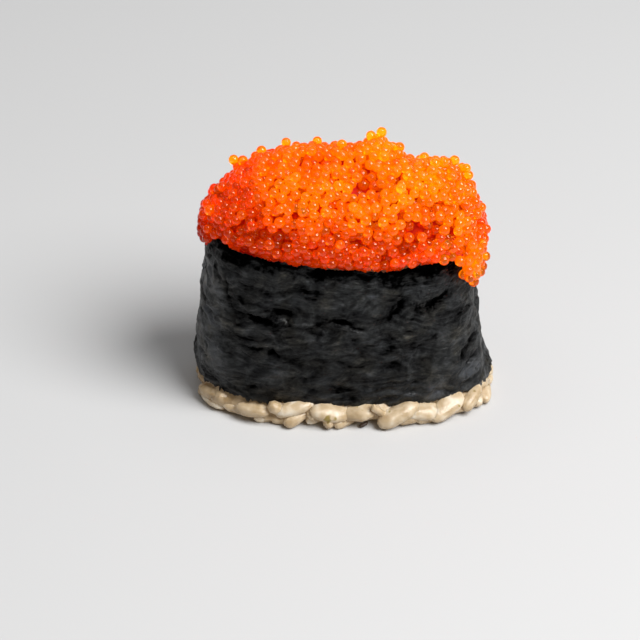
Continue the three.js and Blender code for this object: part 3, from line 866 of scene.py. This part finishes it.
# Clumps of eggs painted paler, as painted light, and of redder ones, as painted shade: across, up, radius,
# how much paler.
PAINTED_LIGHT_AND_SHADE_CLUMPS = [
    (-9.5, 24.0, 4.5, 0.16), (-3.0, 21.5, 5.0, 0.22), (3.5, 17.5, 4.0, 0.24), (5.0, 24.5, 3.0, 0.2),
    (12.0, 29.0, 3.5, 0.14), (16.5, 22.0, 4.5, 0.22), (13.0, 15.5, 3.5, 0.16), (21.5, 26.0, 3.5, 0.12),
    (24.5, 19.5, 3.0, 0.12), (-7.5, 17.5, 3.0, 0.14), (-20.0, 20.0, 2.5, 0.1), (28.0, 9.5, 3.5, 0.4),
    (-13.0, 25.5, 4.0, -0.12), (8.8, 20.0, 4.0, 0.24), (25.6, 16.2, 3.8, 0.32), (25.5, 24.0, 4.0, -0.06),
    (-23.5, 17.0, 4.0, -0.1),
]
clump_places = [seen_from_front(across, up) for across, up, _, _ in PAINTED_LIGHT_AND_SHADE_CLUMPS]


def painted_egg_light_and_shade(place):
    """How pale the eggs are at a place, from painted light and shade: paler high up, to the right and on lit
    clumps, redder in hollows and low on the left.
    """
    # painted light and shade: paler higher up and to the right, redder where the eggs sink into hollows
    pale = 0.45 - 0.2 * sink(place) + 0.028 * (place[2] - 40) + 0.007 * place[0]
    for middle, (_, _, radius, paler) in zip(clump_places, PAINTED_LIGHT_AND_SHADE_CLUMPS):
        pale += paler * math.exp(-(np.sum((place - middle) ** 2) / radius**2))
    return pale


egg_depths = np.array([skin_depth(place)[0] for place in eggs])
loose_depths = egg_depths - np.array([sink(place) for place in eggs])
# painted shade: eggs that lie deeper than the rest are made redder
tint_from_painted_light = np.array([painted_egg_light_and_shade(place) for place in eggs]) - 0.14 * (loose_depths - TYPICAL_DEPTH)
egg_tints = (tint_from_painted_light + generator.normal(0, TINT_SPREAD, len(eggs))).clip(0, 1)
print("egg tints: a tenth of them below", np.percentile(egg_tints, 10).round(2))

# %% [markdown]
# ### What roe looks like
# An egg is a clear skin round an orange fluid, so it is shaded as a wet, clear body: most of the
# light goes straight through and bends, part scatters inside. Its gloss is sharp, and each egg
# shows a small bright image of the lamp. The tint varies from egg to egg between deep orange and
# amber, and it carries painted light and shade: eggs high up and on lit clumps are painted paler,
# and eggs that lie deep are painted redder, as shade for the light that reaches them filtered. A
# weak glow in the same tint stands for the light that eggs pass on to each other, many times over: it is
# painted light.


# %% The finish of an egg
DEEP_TO_AMBER = [(0.0, "#dc5400"), (0.35, "#f67600"), (0.65, "#fc9800"), (1.0, "#ffba18")]
GLOW = [(0.0, "#681c00"), (0.35, "#c04600"), (0.65, "#f07e00"), (1.0, "#fcac00")]


def egg_material():
    material, tree = new_material("flying-fish egg")
    # the tint carries painted light and shade: paler where lit, redder where shaded
    tint = add(tree, "ShaderNodeAttribute", attribute_name="tint").outputs["Fac"]
    colour = add(tree, "ShaderNodeValToRGB", {0: tint}, stops=DEEP_TO_AMBER).outputs["Color"]
    glow = add(tree, "ShaderNodeValToRGB", {0: tint}, stops=GLOW).outputs["Color"]
    shader = add(tree, "ShaderNodeBsdfPrincipled", {
        "Base Color": colour,
        "Roughness": 0.05,
        "IOR": 1.36,
        "Subsurface Weight": 1.0,
        "Subsurface Radius": (1.0, 0.4, 0.1),
        "Subsurface Scale": 0.3 * MM,
        "Transmission Weight": 0.92,
        "Coat Weight": 0.15,
        "Coat Roughness": 0.04,
        "Emission Color": glow,
        "Emission Strength": 0.28,
    })
    add(tree, "ShaderNodeOutputMaterial", {"Surface": shader.outputs[0]})
    return material


# %% The finish of the core, which shows only as the red depth between eggs: its dark red is painted shade and its red glow painted light
def core_material():
    material, tree = new_material("roe in depth")
    place = add(tree, "ShaderNodeTexCoord").outputs["Object"]
    cells = add(tree, "ShaderNodeTexVoronoi", {"Vector": place, "Scale": 1 / (EGG * MM)}).outputs["Distance"]
    # painted shade: darker red at the edges of egg-sized cells, as in the gaps between eggs
    colour = add(tree, "ShaderNodeValToRGB", {0: cells}, stops=[(0.0, "#c83000"), (0.6, "#901000")])
    bump = add(tree, "ShaderNodeBump", {"Height": cells, "Strength": 0.6, "Distance": 0.5 * MM}, invert=True)
    shader = add(tree, "ShaderNodeBsdfPrincipled", {
        "Base Color": colour.outputs["Color"],
        "Roughness": 0.6,
        "Specular IOR Level": 0.1,
        # painted light: a weak red glow, though the core is no lamp
        "Emission Color": linear("#c01800"),
        "Emission Strength": 0.25,
        "Subsurface Weight": 0.4,
        "Subsurface Radius": (1.0, 0.3, 0.05),
        "Subsurface Scale": 1.5 * MM,
        "Normal": bump.outputs[0],
    })
    add(tree, "ShaderNodeOutputMaterial", {"Surface": shader.outputs[0]})
    return material


# %% [markdown]
# ### Eggs as mesh, and what shows between them
# A ball of eighty faces, shaded smooth, is round enough at this size, and the second tree sets one
# on each place. Behind them the skin of the heap is let down, a bit at a time with smoothing in
# between so that it never folds, and deeper in the hollows.

# %% The eggs
BALL_RADIUS = 0.515  # of an egg one unit across: a bit over a half, since the flat faces cut inside it


def ball_pattern():
    ball = bmesh.new()
    bmesh.ops.create_icosphere(ball, subdivisions=2, radius=BALL_RADIUS)
    return object_of("egg_pattern", ball)


roe = set_copies(
    "roe_eggs",
    ball_pattern(),
    egg_material(),
    eggs * MM,
    generator.uniform(0, math.pi, (len(eggs), 3)),
    np.repeat(egg_sizes[:, None] * MM, 3, axis=1),
    egg_tints,
)
hand_in(roe, "roe")

# %% The core behind the eggs
CORE_DEPTH = 1.9  # how far the core lies below the skin of the heap
CORE_STEPS = 5

skin_places = np.array([v.co for v in heap.data.vertices]) / MM
for _ in range(CORE_STEPS):
    modify(heap, "DISPLACE", strength=-CORE_DEPTH / CORE_STEPS * MM, mid_level=0)
    modify(heap, "SMOOTH", factor=0.6, iterations=6)
bake_modifiers(heap)
for vertex, place in zip(heap.data.vertices, skin_places):
    vertex.co -= vertex.normal * max(0.0, sink(place)) * MM

# %% Cut the core off above the drape, whose eggs have none behind them
cut = bmesh.new()
cut.from_mesh(heap.data)
everything = cut.verts[:] + cut.edges[:] + cut.faces[:]
cut_at = {"plane_co": (0, 0, DRAPE_TOP * MM), "plane_no": (0, 0, 1)}
bmesh.ops.bisect_plane(cut, geom=everything, clear_inner=True, **cut_at)
bmesh.ops.holes_fill(cut, edges=[e for e in cut.edges if e.is_boundary])
cut.to_mesh(heap.data)
cut.free()
hand_in(finish_solid(heap, core_material()), "roe")

# %% [markdown]
# ## Rice
# The foot of the block shows below the nori as a band of single grains, pressed together and stuck
# to each other, and a few that lean against the sheet's edge. Each grain is a plump spindle with
# pressed flats and blunt, slanted ends. The grains of the long side are named one by one, and the
# others are set in rings round the foot with a seeded draw, so no two neighbours lie alike. A
# patch of them closes the underside. Grains could also be dropped and left to fall by a physics
# run, but these were pressed into a block by hand, so each is put where it was pressed.

# %% Sizes of the rice, in millimetres
RICE_FOOT = (25.9, 14.2)
RICE_SQUARENESS = 2.6
GRAIN = (6.2, 3.2, 2.3)
# Each ring: height, count, how far out of the foot's oval, largest tilt, largest swing.
RINGS = [
    (1.1, 24, 0.0, 0.08, 0.7),
    (2.3, 26, -0.9, 0.3, 0.9),
    (3.4, 26, -1.4, 0.25, 0.6),
]
# Grains that show in front, between the corners of the long side: x, height, how far out of the
# oval, swing towards the front, tip to the right, size.
FRONT_GRAINS = [
    (-23.6, 2.7, -0.1, 0.15, 0.10, 1.16),
    (-19.9, 1.4, -0.5, 0.35, -0.1, 0.9),
    (-16.3, 2.3, 0.15, -0.05, 0.1, 1.08),
    (-14.3, 1.0, -0.2, 0.50, 0.05, 0.90),
    (-11.9, 2.3, 0.3, 0.75, -0.65, 1.12),
    (-9.2, 3.3, -0.2, 0.3, 0.25, 1.2),
    (-8.6, 1.6, 0.5, 0.7, 0.3, 1.08),
    (-11.0, 1.0, -0.25, 0.20, 0.00, 0.90),
    (-5.9, 2.5, -0.1, 1.35, 0.10, 0.84),
    (-5.3, 1.0, -0.6, 0.70, 0.00, 0.88),
    (-2.6, 2.9, 0.2, 0.1, -0.12, 1.24),
    (1.9, 2.7, 0.1, -0.3, 0.2, 1.15),
    (-2.6, 1.1, 0.60, 1.20, 0.00, 0.86),
    (0.0, 1.1, 0.20, 0.75, 0.10, 0.94),
    (2.9, 1.6, 0.35, -1.00, 0.45, 0.92),
    (5.9, 3.4, 0.75, 0.35, -0.75, 0.66),
    (9.7, 2.3, 0.45, 0.30, 0.36, 1.36),
    (8.8, 1.1, -0.35, -0.40, 0.00, 0.90),
    (13.6, 2.3, 0.20, -0.15, -0.05, 1.2),
    (12.0, 1.0, 0.05, 0.20, 0.05, 0.95),
    (15.6, 1.3, -0.1, 0.20, 0.10, 0.95),
    (18.3, 2.4, 0.30, 0.25, 0.35, 1.22),
    (22.9, 2.4, 0.25, 0.35, 0.35, 1.10),
    (20.6, 1.0, -0.3, -0.30, 0.00, 0.90),
    (25.2, 1.3, 0.35, 0.45, 0.20, 0.95),
]
FRONT_ENDS = (0.58, 0.945)  # share of the way round where the named grains start and end
PATCH_ROWS, PATCH_COLUMNS = 6, 5  # of the patch that closes the underside, to each side of its middle
ABOVE_TABLE = 0.02


# %% A grain
def grain_pattern():
    """A plump spindle one unit long, wide and high, with pressed flats and blunt, slanted ends."""
    grain = bmesh.new()
    bmesh.ops.create_uvsphere(grain, u_segments=12, v_segments=9, radius=0.5)
    bmesh.ops.rotate(grain, verts=grain.verts, matrix=Matrix.Rotation(math.pi / 2, 3, "Y"))
    for v in grain.verts:
        t = v.co.x * 2
        plump = (1 - min(1, abs(t)) ** 3.4) ** 0.5 / max(1e-3, (1 - t * t)) ** 0.5 if abs(t) < 0.99 else 1
        turn = math.atan2(v.co.z, v.co.y)
        square = (abs(math.cos(turn)) ** 3 + abs(math.sin(turn)) ** 3) ** (-1 / 3)
        v.co.y *= plump * square * (0.94 + 0.14 * t)
        v.co.z *= plump * square * (0.92 - 0.16 * t)
        v.co.x += 0.16 * v.co.y - 0.1 * v.co.z
    return object_of("grain_pattern", grain)


# %% Places of the grains
def grain_places():
    draw = random.Random(4)
    low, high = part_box("rice")
    middle = ((low.x + high.x) / 2 / MM, (low.y + high.y) / 2 / MM)
    places, turns, sizes = [], [], []

    def put(x, y, z, yaw, tip, size):
        half = math.hypot(GRAIN[0] / 2 * math.sin(tip), GRAIN[2] / 2 * math.cos(tip)) * size
        places.append((x + middle[0], y + middle[1], max(z, half + ABOVE_TABLE)))
        turns.append((draw.uniform(-0.5, 0.5), -tip, yaw))
        sizes.append([g * size * draw.uniform(0.95, 1.05) for g in GRAIN])

    def put_on_oval(share, out, height, swing, tip, size):
        reach = out - abs(math.sin(swing)) * (GRAIN[0] - GRAIN[1]) / 2 * size
        half = [size + reach for size in RICE_FOOT]
        place, outwards, _ = oval(*half, np.array([share]), RICE_SQUARENESS)
        along = math.atan2(outwards[0, 0], -outwards[0, 1])
        put(*place[0], height, along + swing, tip, size)

    for height, count, out, tilt, swing in RINGS:
        for i in range(count):
            share = (i + 0.5 + draw.uniform(-0.3, 0.3)) / count
            lift = draw.uniform(-0.15, 0.15)
            swung = draw.uniform(-swing, swing)
            tipped = draw.uniform(-tilt, tilt)
            size = draw.uniform(0.9, 1.06)
            if not FRONT_ENDS[0] < share < FRONT_ENDS[1]:
                put_on_oval(share, out, height + lift, swung, tipped, size)
    front = np.linspace(0.5, 1.0, 801)
    front_x = oval(*RICE_FOOT, front, RICE_SQUARENESS)[0][:, 0]
    for x, height, out, swing, tip, size in FRONT_GRAINS:
        share = float(np.interp(x, front_x, front))
        put_on_oval(share, out, height, swing, tip, size)
    step_x, step_y = GRAIN[0] * 0.9, GRAIN[1] * 1.05
    for row in range(-PATCH_ROWS, PATCH_ROWS + 1):
        for column in range(-PATCH_COLUMNS, PATCH_COLUMNS + 1):
            x = (column + 0.5 * (row % 2)) * step_x + draw.uniform(-0.9, 0.9)
            y = row * step_y * 0.9 + draw.uniform(-0.4, 0.4)
            if (abs(x) / (RICE_FOOT[0] - 2.5)) ** 2.5 + (abs(y) / (RICE_FOOT[1] - 2)) ** 2.5 < 1:
                put(x, y, 1.0, draw.uniform(-0.9, 0.9), draw.uniform(-0.05, 0.05), 1.0)
    return np.array(places), np.array(turns), np.array(sizes)


# %% [markdown]
# ### What cooked rice looks like
# Cooked short-grain rice is milky and a little clear, and it is beige here, as rice seasoned with a
# dark vinegar is. Light scatters through each grain, and a weak glow stands for what grains pass
# on to each other, which keeps the seams between them warm. The starch shines on their ridges, and
# an olive fleck of the germ is left on some.

# %% Rice material
GRAIN_CLOUD = 1.8 * MM  # length over which a grain goes from milky to clear
FLECK = 1.9 * MM  # distance between possible flecks of germ
PUCKER = 0.5 * MM  # size of the puckers in a grain's skin
CLEAR_TO_MILKY = [(0.34, "#8e7858"), (0.6, "#ac987a"), (0.82, "#bcaa8e"), (1.0, "#d0c6b4")]
NONE_TO_OLIVE = [(0.7, "#ffffff"), (0.76, "#b4ac62")]


def rice_material():
    material, tree = new_material("cooked vinegared rice")
    place = add(tree, "ShaderNodeTexCoord").outputs["Object"]
    tint = add(tree, "ShaderNodeAttribute", attribute_name="tint").outputs["Fac"]
    clouds = {"Vector": place, "Scale": 1 / GRAIN_CLOUD, "Detail": 1.5}
    cloud = add(tree, "ShaderNodeTexNoise", clouds).outputs["Fac"]
    milky = add(tree, "ShaderNodeMath", {0: tint, 1: 0.4, 2: cloud}, operation="MULTIPLY_ADD").outputs[0]
    beige = add(tree, "ShaderNodeValToRGB", {0: milky}, stops=CLEAR_TO_MILKY).outputs["Color"]
    spots = {"Vector": place, "Scale": 1 / FLECK, "Detail": 1.0}
    spot = add(tree, "ShaderNodeTexNoise", spots).outputs["Fac"]
    fleck = add(tree, "ShaderNodeValToRGB", {0: spot}, stops=NONE_TO_OLIVE).outputs["Color"]
    colour = add(tree, "ShaderNodeVectorMath", {0: beige, 1: fleck}, operation="MULTIPLY").outputs[0]
    roughness = add(tree, "ShaderNodeMapRange", {
        "Value": cloud, "From Min": 0.4, "From Max": 0.6, "To Min": 0.2, "To Max": 0.5,
    }).outputs[0]
    puckers = {"Vector": place, "Scale": 1 / PUCKER, "Detail": 3.0}
    skin = add(tree, "ShaderNodeTexNoise", puckers).outputs["Fac"]
    bump = add(tree, "ShaderNodeBump", {"Height": skin, "Strength": 0.5, "Distance": 0.15 * MM})
    shader = add(tree, "ShaderNodeBsdfPrincipled", {
        "Base Color": colour,
        "Roughness": roughness,
        "IOR": 1.4,
        "Subsurface Weight": 0.75,
        "Subsurface Radius": (1.0, 0.94, 0.88),
        "Subsurface Scale": 0.4 * MM,
        "Coat Weight": 0.15,
        "Coat Roughness": 0.15,
        "Emission Color": linear("#e0b888"),
        "Emission Strength": 0.07,
        "Normal": bump.outputs[0],
    })
    add(tree, "ShaderNodeOutputMaterial", {"Surface": shader.outputs[0]})
    print(material.name, "- clouds", GRAIN_CLOUD / MM, "mm, puckers", PUCKER / MM, "mm")
    return material


# %% [markdown]
# ### Grains as mesh, and the block behind them
# The second tree sets a grain on each place. Soft grains press flats and dents into each other, so
# every point then moves in or out by a noise, except close to the table. The frame's own solid,
# smoothed and let in a little, fills the block behind the grains.

# %% The grains
DENT = 0.36  # how deep neighbours have pressed dents into the soft grains


def rice_grains():
    places, turns, sizes = grain_places()
    tints = np.random.default_rng(5).uniform(0, 1, len(places))
    grains = set_copies("rice_grains", grain_pattern(), rice_look, places * MM, turns, sizes * MM, tints)
    for vertex in grains.data.vertices:
        place = vertex.co / MM
        dent = 0.12 - 0.6 * abs(noise.noise(place * 0.6)) + 0.55 * noise.noise(place * 1.2)
        vertex.co += vertex.normal * DENT * dent * min(1.0, place.z / 0.8) * MM
        vertex.co.z = max(vertex.co.z, 0.01 * MM)
    return grains


rice_look = rice_material()
hand_in(rice_grains(), "rice")

# %% A bit of bran in front
BRAN = (3.3, -14.6, 0.55)
BRAN_SIZE = (1.8, 0.8, 0.7)
BRAN_TURN = (0, -0.3, 0.5)


def bran_material():
    material, tree = new_material("rice bran")
    shader = add(tree, "ShaderNodeBsdfPrincipled", {"Base Color": linear("#3a2a1e"), "Roughness": 0.5})
    add(tree, "ShaderNodeOutputMaterial", {"Surface": shader.outputs[0]})
    return material


def rice_bran():
    place, size = Vector(BRAN) * MM, Vector(BRAN_SIZE) * MM
    return set_copies("rice_bran", grain_pattern(), bran_material(), [place], [BRAN_TURN], [size], [0])


hand_in(rice_bran(), "rice")


# %% The block behind the grains
BLOCK_VOXEL = 0.9
BLOCK_INSET = 0.25


def rice_block():
    block = merged_copy("rice_block", "rice")
    modify(block, "REMESH", mode="VOXEL", voxel_size=BLOCK_VOXEL * MM)
    modify(block, "SMOOTH", factor=0.6, iterations=10)
    modify(block, "DISPLACE", strength=-BLOCK_INSET * MM, mid_level=0)
    return finish_solid(bake_modifiers(block), rice_look)


hand_in(rice_block(), "rice")

# %% [markdown]
# ## Table and light
# A pale, smooth table, and soft light: a lamp from the right that throws the shadow to the left and
# puts a bright point on each egg, a very large dim one overhead that softens the shadow, and a
# nearly dark surround, so that the eggs keep their clear, dark rims. A picture of a room could
# light it too, but lamps can be set where each highlight needs them.

# %% Table
TABLE_SIZE = 3.0


def table_material():
    material, tree = new_material("pale table")
    finish = {"Base Color": linear("#c0c0c0"), "Roughness": 0.8, "Specular IOR Level": 0.2}
    shader = add(tree, "ShaderNodeBsdfPrincipled", finish)
    add(tree, "ShaderNodeOutputMaterial", {"Surface": shader.outputs[0]})
    return material


corners = [(x * TABLE_SIZE / 2, y * TABLE_SIZE / 2, 0) for x, y in ((-1, -1), (1, -1), (1, 1), (-1, 1))]
table = new_object("table", corners, [(0, 1, 2, 3)])
table.data.materials.append(table_material())


# %% Lamps
def lamp(name, place, size, power, colour="#ffffff"):
    data = bpy.data.lights.new(name, "AREA")
    data.shape = "DISK"
    data.size = size
    data.energy = power
    data.color = linear(colour)[:3]
    piece = bpy.data.objects.new(name, data)
    bpy.context.scene.collection.objects.link(piece)
    piece.location = place
    piece.rotation_euler = (-Vector(place)).to_track_quat("-Z", "Y").to_euler()


KEY_DISTANCE, OVERHEAD_HEIGHT = 0.9, 1.5
KEY_AZIMUTH, KEY_ELEVATION = math.radians(54), math.radians(52)  # to the right of the camera, and up
key_direction = Vector(
    (
        math.sin(KEY_AZIMUTH) * math.cos(KEY_ELEVATION),
        -math.cos(KEY_AZIMUTH) * math.cos(KEY_ELEVATION),
        math.sin(KEY_ELEVATION),
    )
)
lamp("key", key_direction * KEY_DISTANCE, 0.62, 13)
lamp("overhead", (0, 0, OVERHEAD_HEIGHT), 2.0, 8.6)

world = bpy.data.worlds.new("surround")
world.use_nodes = True
world.node_tree.nodes["Background"].inputs["Color"].default_value = linear("#ffffff")
world.node_tree.nodes["Background"].inputs["Strength"].default_value = 0.07
bpy.context.scene.world = world
print("key lamp", [round(c * KEY_DISTANCE, 2) for c in key_direction], "m from the middle")
